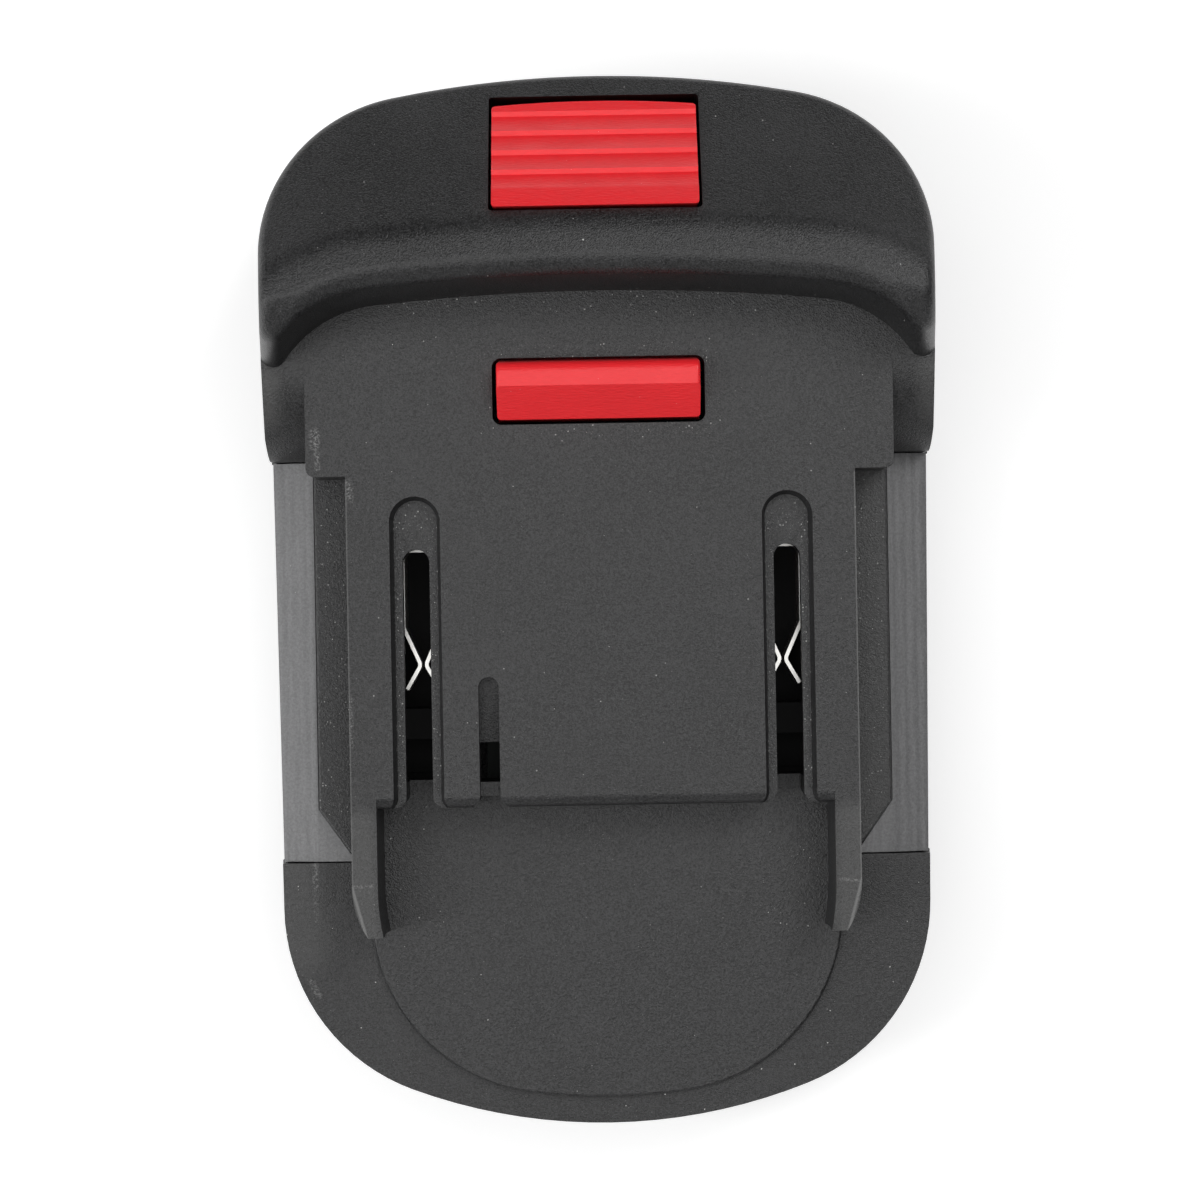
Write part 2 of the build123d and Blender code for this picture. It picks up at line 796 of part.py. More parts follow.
def grip_section():
    """Cross-section of the right grip, with terraces on top and ribs on the side."""
    inner_x = deck_neck_half
    flat_x = deck_half + fit_gap
    outer_x = waist_half - grip_inset
    core_x = waist_half - grip_depth
    core_z = rim_z - grip_depth
    points = [(inner_x, core_z), (inner_x, rim_z)]
    for index in range(1, grip_rib_count + 1):
        x = min(flat_x + index * grip_rib_pitch, outer_x)
        z = rim_z - index * grip_rib_drop
        points.append((x - grip_rib_notch, z + grip_rib_drop - grip_rib_notch / 2))
        points.append((x, z - grip_rib_notch / 2))
    for index in range(1, grip_side_ribs + 1):
        z = rim_z - grip_depth - index * grip_side_pitch
        points.append((outer_x, z + grip_side_notch))
        points.append((outer_x - grip_side_notch, z))
        points.append((outer_x, z - grip_side_notch))
    points += [(outer_x, grip_low), (core_x, grip_low), (core_x, core_z)]
    return make_face(Polyline(*points, close=True))


def side_grip():
    """The right side grip with the pegs that hold it."""
    body = along_side(Plane.XZ * grip_section()) & slab(grip_plan(), grip_low, rim_z)
    return body + grip_pegs(grip_peg_radius, grip_peg_length)


def slope_point(y, out=0.0):
    """A point over the hood's slope, in Y and Z, lifted square to it by out."""
    slope = radians(hood_slope)
    start_d, start_z = hood_points()[-1]
    z = start_z - (y - foot_y - start_d) * tan(slope)
    return (y + out * sin(slope), z + out * cos(slope))


def button_side(inset=0.0):
    """Side view of the button, stepped on the outside and plain on the inside."""
    out = button_rise - inset
    front = slope_point(button_front_y + overrun, out)
    edges = []
    last = front
    for index in range(0 if inset else rib_count):
        crest_y = button_front_y - rib_lead - index * rib_pitch
        crest = slope_point(crest_y, out)
        foot_d = crest_y - rib_fall
        foot = slope_point(foot_d, out - rib_depth)
        hollow = slope_point(foot_d - (rib_pitch - rib_fall) / 2, out - 3 * rib_depth / 4)
        rise_end = slope_point(crest_y - rib_pitch, out)
        if index == 0:
            edges.append(Line(last, crest))
        edges += [Line(crest, foot), ThreePointArc(foot, hollow, rise_end)]
        last = rise_end
    rear = slope_point(button_rear_y - overrun, out)
    low_rear = (rear[0], bridge_z - (overrun if inset else 0))
    low_front = (front[0], low_rear[1])
    edges += [Line(last, rear), Line(rear, low_rear), Line(low_rear, low_front), Line(low_front, front)]
    return make_face(edges)


def button_block(inset=0.0):
    """The button, or the hollow inside it when inset is a wall."""
    half = latch_half - inset
    rear = button_rear_y + inset
    front = button_front_y - inset
    side_front = front - button_arch
    plan = make_face([
        Line((-half, rear), (half, rear)),
        Line((half, rear), (half, side_front)),
        ThreePointArc((half, side_front), (0, front), (-half, side_front)),
        Line((-half, side_front), (-half, rear)),
    ])
    body = slab(plan, bridge_z - (overrun if inset else 0), crest_z + overrun)
    if not inset:
        body = fillet(body.edges().filter_by(Axis.Z), button_round)
    return body & across(button_side(inset), latch_half)


def release_latch():
    """Button, bridge and tongue, which move as one piece."""
    top_z = plate_z + tongue_rise
    nose_y = tongue_front_y - tongue_nose
    nose_z = top_z - tongue_nose
    tongue = make_face([
        Line((tongue_front_y, bridge_z), (tongue_rear_y, bridge_z)),
        Line((tongue_rear_y, bridge_z), (tongue_rear_y, plate_z)),
        Line((tongue_rear_y, plate_z), (nose_y - tongue_flat, top_z)),
        Line((nose_y - tongue_flat, top_z), (nose_y, top_z)),
        CenterArc((nose_y, nose_z), tongue_nose, 0, 90),
        Line((tongue_front_y, nose_z), (tongue_front_y, bridge_z)),
    ])
    tongue = across(tongue, latch_half)
    upright = tongue.edges().filter_by(Axis.Z)
    tongue = fillet(upright, tongue_round)
    ear_rear_y = tongue_front_y + ear_lead
    ears = block(-ear_half, ear_half, ear_rear_y, ear_rear_y + ear_length, bridge_z, bridge_top_z)
    stem = block(-latch_half, latch_half, tongue_rear_y, button_rear_y + button_wall, bridge_z, bridge_top_z)
    latch = ears + stem + button_block() + tongue - button_block(button_wall)
    return latch + pair(rod(spring_x, spring_y, peg_radius, bridge_z - peg_height, bridge_z))


def latch_spring(x):
    """A coil spring that stands on the floor under the latch."""
    low = cavity_z + spring_wire / 2
    height = bridge_z - spring_gap - spring_wire / 2 - low
    path = Pos(x, spring_y, low) * Helix(height / spring_turns, height, spring_radius)
    section = Plane(origin=path @ 0, z_dir=path % 0) * Circle(spring_wire / 2)
    return sweep(section, path=path, is_frenet=True)


def blade_solid(x, grow=0.0):
    """A flat blade terminal with a tail that rises to its lead."""
    tip_y = holder_front_y + blade_length
    low = blade_low - grow
    high = blade_low + blade_height + grow
    rear = blade_rear_y - grow
    tail_front = blade_rear_y + blade_tail_width + grow
    tail_z = flange_z + blade_tail_rise
    face = make_face(Polyline(
        (rear, low),
        (tip_y - blade_tip, low),
        (tip_y, low + blade_tip),
        (tip_y, high - blade_tip),
        (tip_y - blade_tip, high),
        (tail_front, high),
        (tail_front, tail_z),
        (rear, tail_z),
        close=True,
    ))
    return Pos(x, 0) * across(face, blade_thickness / 2 + grow)


def blade_holder():
    """The block that holds the blades at the closed end of the channel."""
    rear = channel_rear_y + fit_gap
    body = block(-holder_half, holder_half, rear, holder_front_y, holder_low, flange_z)
    flange_half = holder_half + flange_over
    body += block(
        -flange_half, flange_half,
        rear, holder_front_y + flange_reach, standoff_z, flange_z)
    body -= pair(blade_solid(blade_x, thread_gap))
    for x, y in small_screw_places()[:2]:
        body -= rod(x, y, small_shaft_radius + thread_gap, standoff_z - overrun, flange_z + overrun)
    return body


def contact_clip():
    """The right clip: one leaf folded round its closed front end."""
    half = clip_half
    leaf = [
        (half, slot_front_y),
        (half, slot_front_y - clip_shoulder_back),
        (clip_pinch_half, slot_front_y - clip_pinch_back),
        (clip_flare_half, slot_front_y - clip_flare_back),
    ]
    other = [(-x, y) for x, y in leaf]
    path = FilletPolyline(*reversed(other), *leaf, radius=clip_corner)
    strip = trace(path, clip_leaf)
    clip = slab(strip, carrier_top_z, clip_top_z)
    clip += block(-half, half, slot_front_y, slot_front_y + clip_tab_length, carrier_top_z, carrier_top_z + clip_leaf)
    return Pos(clip_x, 0) * clip


def clip_carrier():
    """The right carrier, which a clip stands in."""
    inside = carrier_half - carrier_wall
    carrier = block(
        -carrier_half, carrier_half, carrier_rear_y, carrier_front_y, cavity_z, carrier_top_z)
    cheek = block(
        inside, carrier_half, carrier_rear_y, carrier_front_y,
        carrier_top_z, carrier_top_z + carrier_cheek)
    cross_front = slot_front_y - carrier_cross_back
    cross = block(
        -inside, inside, cross_front - carrier_cross_length, cross_front,
        carrier_top_z, carrier_top_z + carrier_cheek)
    ear = block(
        -carrier_half, carrier_half, carrier_rear_y - carrier_ear, carrier_rear_y,
        standoff_z, flange_z)
    carrier = Pos(clip_x, 0) * (carrier + pair(cheek) + cross + ear)
    for x, y in small_screw_places()[3:4]:
        carrier -= rod(x, y, small_shaft_radius + thread_gap, standoff_z - overrun, flange_z + overrun)
    return carrier


def protection_board():
    """The circuit board between the carriers."""
    plan = RectangleRounded(2 * board_half, board_length, board_corner)
    board = slab(Pos(0, (board_front_y + board_rear_y) / 2) * plan, standoff_z, flange_z)
    for x, y in small_screw_places()[4:]:
        board -= rod(x, y, small_shaft_radius + thread_gap, standoff_z - overrun, flange_z + overrun)
    return board


def power_transistor(x, y):
    """A flat power transistor with its tab and its two legs."""
    half = transistor_width / 2
    end_y = y + transistor_length
    body = block(x - half, x + half, y, end_y, flange_z, flange_z + transistor_height)
    top_edges = body.edges().group_by(Axis.Z)[-1]
    body = chamfer(top_edges, transistor_lead / 2)
    tab = block(x - half, x + half, end_y, end_y + transistor_tab, flange_z, flange_z + transistor_lead)
    legs = []
    for side in (-1, 1):
        leg_x = x + side * half * transistor_leg_share
        legs.append(block(
            leg_x - transistor_lead / 2, leg_x + transistor_lead / 2,
            y - 2 * transistor_tab, y, flange_z, flange_z + transistor_lead))
    return body + tab + legs[0] + legs[1]


def control_chip(x, y):
    """The small chip that watches the battery voltage."""
    half = chip_width / 2
    body = block(x - half, x + half, y, y + chip_length, flange_z, flange_z + chip_height)
    pitch = chip_length / chip_lead_count
    for index in range(chip_lead_count):
        leg_y = y + (index + 1 / 2) * pitch
        body += block(
            x - half - chip_lead_reach, x + half + chip_lead_reach,
            leg_y - chip_lead / 2, leg_y + chip_lead / 2, flange_z, flange_z + chip_lead)
    return body


def capacitor(x, y):
    """The electrolytic capacitor: a can on a square base."""
    half = capacitor_radius + capacitor_round / 2
    base_z = flange_z + capacitor_base
    base = block(x - half, x + half, y - half, y + half, flange_z, base_z)
    can = rod(x, y, capacitor_radius, base_z, flange_z + capacitor_height)
    can = fillet(can.edges().group_by(Axis.Z)[-1], capacitor_round)
    return base + can


def screw(x, y, seat_z, length, shaft_radius, head_radius, head_height, up):
    """A cross-head screw whose head lies under its seat when up, or else on it."""
    way = 1 if up else -1
    head = Pos(x, y, seat_z - way * head_height / 2) * Cylinder(head_radius, head_height)
    shaft = Pos(x, y, seat_z + way * length / 2) * Cylinder(shaft_radius, length)
    bar = Box(2 * head_radius * drive_share, drive_width, 2 * drive_depth)
    drive = bar + Rot(0, 0, 90) * bar
    return head + shaft - Pos(x, y, seat_z - way * head_height) * drive


def casing_screws():
    """The four screws that hold the casings together."""
    group = []
    for x, y in casing_screw_places():
        one = screw(
            x, y, screw_seat_z, casing_screw_length,
            casing_shaft_radius, casing_head_radius, casing_head_height, True)
        group += [one, mirrored(one)]
    return Compound(group)


def small_screws():
    """The small screws inside the adapter."""
    return Compound([
        screw(
            x, y, flange_z, small_screw_length,
            small_shaft_radius, small_head_radius, small_head_height, False)
        for x, y in small_screw_places()
    ])


def lead(points, radius, bend):
    """A round lead along straight runs joined by arcs."""
    path = FilletPolyline(*points, radius=bend)
    section = Plane(origin=path @ 0, z_dir=path % 0) * Circle(radius)
    return sweep(section, path=path)


def positive_lead():
    """From the left blade, round the left carrier, to the left clip."""
    start_y = blade_rear_y + blade_tail_width
    start_z = flange_z + lead_gap + lead_radius
    side_x = clip_x + lead_corridor
    side_z = cavity_z + lead_gap + lead_radius
    tab_y = slot_front_y + clip_tab_length
    turn_y = tab_y + lead_turn
    points = [
        (-blade_x, start_y, start_z),
        (-blade_x, start_y + lead_start, start_z),
        (-side_x, start_y + 2 * lead_start, side_z),
        (-side_x, turn_y, side_z),
        (-clip_x, turn_y, carrier_top_z + clip_leaf / 2),
        (-clip_x, tab_y, carrier_top_z + clip_leaf / 2),
    ]
    return lead(points, lead_radius, lead_bend)


def negative_lead_battery():
    """From the right blade to the rear of the board."""
    start_y = blade_rear_y + blade_tail_width
    z = flange_z + lead_gap + lead_radius
    points = [
        (blade_x, start_y, z),
        (blade_x, start_y + lead_start, z),
        (lead_pad_x, start_y + lead_start, z),
        (lead_pad_x, board_rear_y + lead_pad_reach, z),
    ]
    return lead(points, lead_radius, lead_bend)


def negative_lead_tool():
    """From the front of the board to the right clip."""
    tab_y = slot_front_y + clip_tab_length
    turn_y = tab_y + lead_turn
    z = flange_z + lead_gap + lead_radius
    points = [
        (lead_out_x, board_front_y - lead_out_reach, z),
        (lead_out_x, turn_y, z),
        (clip_x, turn_y, carrier_top_z + clip_leaf / 2),
        (clip_x, tab_y, carrier_top_z + clip_leaf / 2),
    ]
    return lead(points, lead_radius, lead_bend)


def sense_lead():
    """The thin lead that lets the board read the battery voltage."""
    z = flange_z + lead_gap + sense_radius
    y = blade_rear_y + blade_tail_width / 2
    points = [
        (-blade_x + blade_thickness / 2, y, z),
        (-sense_pad_x, y, z),
        (-sense_pad_x, board_rear_y + sense_pad_reach, z),
    ]
    return lead(points, sense_radius, sense_bend)


chip_y = board_front_y - board_length / 2
parts = {
    "upper_casing": upper_casing(),
    "lower_casing": lower_casing(),
    "side_grip_left": mirrored(side_grip()),
    "side_grip_right": side_grip(),
    "release_latch": release_latch(),
    "latch_spring_left": latch_spring(-spring_x),
    "latch_spring_right": latch_spring(spring_x),
    "clip_carrier_left": mirrored(clip_carrier()),
    "clip_carrier_right": clip_carrier(),
    "contact_clip_left": mirrored(contact_clip()),
    "contact_clip_right": contact_clip(),
    "blade_holder": blade_holder(),
    "blade_terminal_left": blade_solid(-blade_x),
    "blade_terminal_right": blade_solid(blade_x),
    "protection_board": protection_board(),
    "power_transistors": Compound([
        power_transistor(-board_half / 2, board_rear_y + board_length / 4),
        power_transistor(board_half / 4, board_rear_y + board_length / 4),
    ]),
    "control_chip": control_chip(board_half / 2, chip_y),
    "electrolytic_capacitor": capacitor(-board_half / 2, chip_y + board_half / 2),
    "casing_screws": casing_screws(),
    "small_screws": small_screws(),
    "positive_lead": positive_lead(),
    "negative_lead_battery": negative_lead_battery(),
    "negative_lead_tool": negative_lead_tool(),
    "sense_lead": sense_lead(),
}
for name, shape in parts.items():
    export_step(shape, "parts/" + name + ".step")
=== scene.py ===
import json
from math import cos, pi, radians, sin

import bmesh
import bpy
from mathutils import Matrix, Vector


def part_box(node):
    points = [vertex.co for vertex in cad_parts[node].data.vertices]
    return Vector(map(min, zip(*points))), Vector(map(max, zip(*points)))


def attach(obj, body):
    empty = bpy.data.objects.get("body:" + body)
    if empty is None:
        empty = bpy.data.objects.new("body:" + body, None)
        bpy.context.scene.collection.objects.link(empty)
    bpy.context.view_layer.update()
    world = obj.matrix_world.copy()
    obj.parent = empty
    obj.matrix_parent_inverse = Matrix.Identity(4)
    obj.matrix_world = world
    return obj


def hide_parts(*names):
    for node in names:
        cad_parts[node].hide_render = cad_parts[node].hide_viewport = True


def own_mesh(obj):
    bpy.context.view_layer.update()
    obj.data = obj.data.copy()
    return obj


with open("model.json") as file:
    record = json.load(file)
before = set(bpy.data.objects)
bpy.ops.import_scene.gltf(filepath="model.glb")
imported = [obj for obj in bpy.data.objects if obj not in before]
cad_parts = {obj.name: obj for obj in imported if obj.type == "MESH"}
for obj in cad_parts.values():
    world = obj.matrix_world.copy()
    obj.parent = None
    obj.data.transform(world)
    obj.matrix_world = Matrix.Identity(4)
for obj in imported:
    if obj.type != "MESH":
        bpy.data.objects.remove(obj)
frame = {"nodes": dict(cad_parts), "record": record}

# Lengths are metres, as in the frame. MM turns millimetres into them.
MM = 0.001
nodes = frame["nodes"]
scene = bpy.context.scene
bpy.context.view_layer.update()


def add_object(name, data):
    """A new object in the scene."""
    thing = bpy.data.objects.new(name, data)
    scene.collection.objects.link(thing)
    return thing


# Camera, straight above, as far off as the photograph's perspective says

# The top of the rail plate, where the photograph's scale was taken
plate_z = 31 * MM
plate_pixels_per_mm = 9.14
photo_pixels = 1200
camera_distance = 400 * MM
camera_roll = radians(-1.0)
camera_x = -0.23 * MM
camera_y = 0.47 * MM
sensor_width = 36.0


def add_camera():
    """The camera at the photograph's place, looking straight down."""
    frame_width = photo_pixels / plate_pixels_per_mm * MM
    data = bpy.data.cameras.new("camera")
    data.sensor_width = sensor_width
    data.lens = sensor_width * camera_distance / frame_width
    camera = add_object("camera", data)
    camera.location = (camera_x, camera_y, plate_z + camera_distance)
    camera.rotation_euler = (0, 0, camera_roll)
    scene.camera = camera


# Small helpers for colours and node trees


def shade(colour, brightness):
    """A darker or lighter form of a colour."""
    return tuple(brightness * part for part in colour)


def new_material(name):
    """A material, with its node tree and its Principled shader."""
    material = bpy.data.materials.new(name)
    material.use_nodes = True
    return material, material.node_tree, material.node_tree.nodes["Principled BSDF"]


def place(tree, scale=None):
    """The point in the frame. A scale below one draws a pattern out along that axis."""
    point = tree.nodes.new("ShaderNodeTexCoord").outputs["Object"]
    if scale is None:
        return point
    mapping = tree.nodes.new("ShaderNodeMapping")
    mapping.inputs["Scale"].default_value = scale
    tree.links.new(point, mapping.inputs["Vector"])
    return mapping.outputs["Vector"]


def noise(tree, size, detail, roughness, scale=None):
    """Noise whose features are about size across, as a value."""
    node = tree.nodes.new("ShaderNodeTexNoise")
    node.inputs["Scale"].default_value = 1 / size
    node.inputs["Detail"].default_value = detail
    node.inputs["Roughness"].default_value = roughness
    tree.links.new(place(tree, scale), node.inputs["Vector"])
    return node.outputs["Fac"]


def remap(tree, value, low, high, to_low=0.0, to_high=1.0):
    """A value taken from one range to another and held inside it."""
    node = tree.nodes.new("ShaderNodeMapRange")
    node.inputs["From Min"].default_value = low
    node.inputs["From Max"].default_value = high
    node.inputs["To Min"].default_value = to_low
    node.inputs["To Max"].default_value = to_high
    tree.links.new(value, node.inputs["Value"])
    return node.outputs["Result"]


def value_math(tree, operation, first, second):
    """Two values put together. Either can be a number."""
    node = tree.nodes.new("ShaderNodeMath")
    node.operation = operation
    for socket, value in zip(node.inputs, (first, second)):
        if isinstance(value, (int, float)):
            socket.default_value = value
        else:
            tree.links.new(value, socket)
    return node.outputs["Value"]


def vector_math(tree, operation, first, second):
    """Two vectors put together, as a vector or as a value. Either can be a tuple."""
    node = tree.nodes.new("ShaderNodeVectorMath")
    node.operation = operation
    for socket, value in zip(node.inputs, (first, second)):
        if isinstance(value, tuple):
            socket.default_value = value
        else:
            tree.links.new(value, socket)
    as_value = operation in ("DOT_PRODUCT", "DISTANCE")
    return node.outputs["Value"] if as_value else node.outputs["Vector"]


def blend(tree, first, second, share):
    """Two values blended, with share as the second one's part."""
    first = value_math(tree, "MULTIPLY", first, 1 - share)
    second = value_math(tree, "MULTIPLY", second, share)
    return value_math(tree, "ADD", first, second)


def mix(tree, factor, first, second):
    """Two colours mixed by a factor. Either can be a tuple."""
    node = tree.nodes.new("ShaderNodeMix")
    node.data_type = "RGBA"
    tree.links.new(factor, node.inputs["Factor"])
    for name, colour in (("A", first), ("B", second)):
        socket = [s for s in node.inputs if s.name == name and s.type == "RGBA"][0]
        if isinstance(colour, tuple):
            socket.default_value = (*colour, 1)
        else:
            tree.links.new(colour, socket)
    return [s for s in node.outputs if s.type == "RGBA"][0]


def bump(tree, height, depth, strength):
    """A normal from a height, where one stands for depth."""
    node = tree.nodes.new("ShaderNodeBump")
    node.inputs["Distance"].default_value = depth
    node.inputs["Strength"].default_value = strength
    tree.links.new(height, node.inputs["Height"])
    return node.outputs["Normal"]


def part_of(tree, vector, axis):
    """One of the three numbers of a vector or colour."""
    node = tree.nodes.new("ShaderNodeSeparateXYZ")
    tree.links.new(vector, node.inputs["Vector"])
    return node.outputs[axis]


# The smallest speck and the faintest one, as parts of the largest and the strongest
smallest_speck = 0.5
faintest_speck = 0.25


def specks(tree, size, spacing, share, strength):
    """Specks up to size across and up to strength, as a mask.

    They lie in cells one spacing across, and share is the part of the cells that holds one.
    """
    cells = tree.nodes.new("ShaderNodeTexVoronoi")
    cells.inputs["Scale"].default_value = 1 / spacing
    tree.links.new(place(tree), cells.inputs["Vector"])
    chance, width, weight = (part_of(tree, cells.outputs["Color"], axis) for axis in "XYZ")
    widest = size / spacing / 2
    reach = remap(tree, width, 0, 1, smallest_speck * widest, widest)
    weight = remap(tree, weight, 0, 1, faintest_speck * strength, strength)
    near = value_math(tree, "LESS_THAN", cells.outputs["Distance"], reach)
    kept = value_math(tree, "GREATER_THAN", chance, value_math(tree, "SUBTRACT", 1, share))
    return value_math(tree, "MULTIPLY", value_math(tree, "MULTIPLY", near, kept), weight)


# How far out a line's mask stays full, as a part of its reach
line_core = 0.35


def near_line(tree, start, end, reach):
    """One beside a straight line, falling to zero at reach from it, all in millimetres."""
    start, end = Vector(start) * MM, Vector(end) * MM
    way = end - start
    from_start = vector_math(tree, "SUBTRACT", place(tree), tuple(start))
    along = vector_math(tree, "DOT_PRODUCT", from_start, tuple(way / way.length_squared))
    foot = tree.nodes.new("ShaderNodeVectorMath")
    foot.operation = "SCALE"
    foot.inputs[0].default_value = tuple(way)
    tree.links.new(remap(tree, along, 0, 1), foot.inputs["Scale"])
    away = vector_math(tree, "DISTANCE", from_start, foot.outputs["Vector"])
    return remap(tree, away, line_core * reach * MM, reach * MM, 1, 0)


def strongest(tree, lines):
    """The strongest of the lines at each point, as a mask."""
    result = None
    for start, end, reach, strength in lines:
        mask = value_math(tree, "MULTIPLY", near_line(tree, start, end, reach), strength)
        result = mask if result is None else value_math(tree, "MAXIMUM", result, mask)
    return result


# Where the casing is rubbed and dusty, where its edges are lightened to thin lines, and where
# painted light lightens one strip. Each line has a start, an end, a reach and a strength, and
# its lengths are millimetres.

# Places that are rubbed light in spots
worn_places = [
    ((-31.16, 19.3, 31), (-31.16, 17.9, 31), 0.70, 0.75),
    ((-30.97, 17.0, 31), (-30.90, 15.4, 31), 0.40, 0.60),
    ((-27.5, 13.8, 31), (-27.4, 11.9, 31), 0.50, 0.55),
    ((-27.7, -30.5, 31), (-25.6, -30.4, 31), 0.24, 0.55),
    ((27.7, -30.7, 31), (25.6, -30.5, 31), 0.24, 0.55),
    ((-27.8, -10, 31), (-27.8, -15, 31), 0.45, 0.50),
    ((-32.72, -28.5, 20.3), (-32.75, -31.2, 20.3), 0.45, 0.60),
    ((-32.75, -31.2, 20.3), (-32.7, -35.0, 20.3), 0.40, 0.30),
    ((31.9, -28.6, 21.4), (31.8, -34.3, 21.4), 0.24, 0.65),
    ((31.8, -34.3, 21.4), (31.7, -37.0, 21.4), 0.20, 0.35),
    ((-33.5, -41.7, 20.3), (-32.6, -43.4, 20.3), 0.50, 0.50),
    ((-36.8, 20.2, 25.5), (-36.7, 17.6, 21.5), 0.55, 0.50),
    ((36.8, 20.2, 25.5), (36.7, 17.6, 21.5), 0.40, 0.30),
]

# Edges of the rail plate lightened to a thin line
lightened_edge_lines = [
    ((-27.95, 14, 30.95), (-27.95, -30.4, 30.95), 0.24, 0.35),
    ((27.95, 14, 30.95), (27.95, -30.4, 30.95), 0.24, 0.45),
    ((-27.95, -30.4, 30.95), (-26.4, -36.1, 30.95), 0.24, 0.50),
    ((27.95, -30.4, 30.95), (26.4, -36.1, 30.95), 0.24, 0.50),
]

# Places with a film of dust, and one strip lightened as painted light
dust_and_painted_light_places = [
    ((-27, -24, 31), (-26.6, -36, 31), 2.6, 0.050),
    ((27, -24, 31), (26.6, -36, 31), 2.6, 0.050),
    ((-35.5, -28.6, 20.3), (-34, -38, 20.3), 4.0, 0.035),
    ((-36.8, 25, 30), (-36.8, 19, 30), 2.6, 0.060),
    ((36.8, 25, 30), (36.8, 19, 30), 2.6, 0.040),
    # Painted light, not dust: a pale film on the strip right of the rail plate, standing in for
    # light falling there from the right
    ((30, 12, 21.5), (30, -24, 21.5), 4.0, 0.030),
]

# Places where specks of dust gather. The strength is the share of the cells that holds one.
speckled_places = [
    ((-21, 33.6, 31), (21, 33.8, 31), 2.6, 0.120),
    ((-12, 27.6, 31), (12, 27.6, 31), 1.6, 0.080),
    ((-12, 19.4, 31), (12, 19.4, 31), 1.6, 0.060),
    ((12.4, 20, 31), (12.4, 27, 31), 1.6, 0.100),
    ((-12.4, 20, 31), (-12.4, 27, 31), 1.2, 0.040),
    ((-30, 12, 21.5), (-30, -24, 21.5), 3.0, 0.13),
    ((30, 12, 21.5), (30, -24, 21.5), 3.0, 0.09),
    ((-22.5, 9, 29), (-22.5, -19, 29), 1.2, 0.28),
    ((22.5, 9, 29), (22.5, -19, 29), 1.2, 0.20),
    ((-18.4, 9, 29), (-18.4, -19, 29), 1.2, 0.16),
    ((18.4, 9, 29), (18.4, -19, 29), 1.2, 0.16),
    ((-20.4, 9.4, 29), (-20.4, 8.6, 29), 2.8, 0.14),
    ((20.4, 9.4, 29), (20.4, 8.6, 29), 2.8, 0.14),
    ((-23, -25, 21.5), (-20, -35, 21.5), 4.0, 0.040),
    ((23, -25, 21.5), (20, -35, 21.5), 4.0, 0.040),
]


# Settings of the materials below. A noise has the size of its features, its detail and its
# roughness. A range says which of its values become none and full. A relief has a depth and a
# strength.

most_of_noise = (0.3, 0.7)

# Charcoal casing

casing_dark = (0.0030, 0.0030, 0.0032)
casing_light = (0.0340, 0.0340, 0.0352)
dust_and_painted_light_colour = (0.62, 0.62, 0.60)
wear_and_edge_line_colour = (0.24, 0.24, 0.237)

fine_grain = (0.16 * MM, 1.0, 0.5)
coarse_grain = (0.30 * MM, 2.0, 0.6)
coarse_share = 0.45
casing_cloud = (11 * MM, 3.0, 0.5)
cloud_share = 0.15
casing_range = (0.40, 0.60)
casing_relief = (0.11 * MM, 1.0)
casing_roughness = (0.37, 0.43)
worn_spots = (0.24 * MM, 3.0, 0.7)
worn_range = (0.47, 0.60)

# Specks of dust: how large, how far apart and how strong
strong_specks = (0.19 * MM, 0.34 * MM, 1.0)
faint_specks = (0.10 * MM, 0.17 * MM, 0.30)
faint_for_each_strong = 3.0

# The share of the cells that holds a speck: in patches everywhere, and more on low surfaces,
# which begin between two heights
speck_patches = (6 * MM, 2.0, 0.5)
patch_range = (0.45, 0.75)
patch_share = (0.002, 0.014)
low_surfaces = (21.2 * MM, 20.8 * MM)
low_share = (0.0, 0.008)


def add_dust_wear_and_painted_light(tree, colour):
    """A colour with the casing's film of dust, a strip lightened as painted light, rubbed
    places, and edges lightened to thin lines.
    """
    # A film of dust, and on the strip right of the rail plate a pale film of painted light
    colour = mix(tree, strongest(tree, dust_and_painted_light_places), colour, dust_and_painted_light_colour)
    spots = remap(tree, noise(tree, *worn_spots), *worn_range)
    worn = value_math(tree, "MULTIPLY", strongest(tree, worn_places), spots)
    colour = mix(tree, worn, colour, wear_and_edge_line_colour)
    # Edges of the rail plate lightened to thin lines
    return mix(tree, strongest(tree, lightened_edge_lines), colour, wear_and_edge_line_colour)


def add_specks(tree, colour):
    """A colour with the casing's specks of dust, more of them where they gather."""
    patches = remap(tree, noise(tree, *speck_patches), *patch_range, *patch_share)
    low = remap(tree, part_of(tree, place(tree), "Z"), *low_surfaces, *low_share)
    share = value_math(tree, "ADD", patches, low)
    share = value_math(tree, "MAXIMUM", share, strongest(tree, speckled_places))
    faint_share = value_math(tree, "MULTIPLY", share, faint_for_each_strong)
    for (size, spacing, strength), held in ((faint_specks, faint_share), (strong_specks, share)):
        colour = mix(tree, specks(tree, size, spacing, held, strength), colour, dust_and_painted_light_colour)
    return colour


def casing_material():
    """Charcoal moulding with a fine sparked grain, a little dust, rubbed spots, edges lightened
    to thin lines, and one strip lightened as painted light.
    """
    material, tree, shader = new_material("casing_plastic")
    cloud = noise(tree, *casing_cloud)
    grain = blend(tree, noise(tree, *fine_grain), noise(tree, *coarse_grain), coarse_share)
    tone = blend(tree, grain, cloud, cloud_share)
    colour = mix(tree, remap(tree, tone, *casing_range), casing_dark, casing_light)
    colour = add_specks(tree, add_dust_wear_and_painted_light(tree, colour))
    roughness = remap(tree, cloud, *most_of_noise, *casing_roughness)
    tree.links.new(colour, shader.inputs["Base Color"])
    tree.links.new(roughness, shader.inputs["Roughness"])
    tree.links.new(bump(tree, grain, *casing_relief), shader.inputs["Normal"])
    return material


# Grey grips

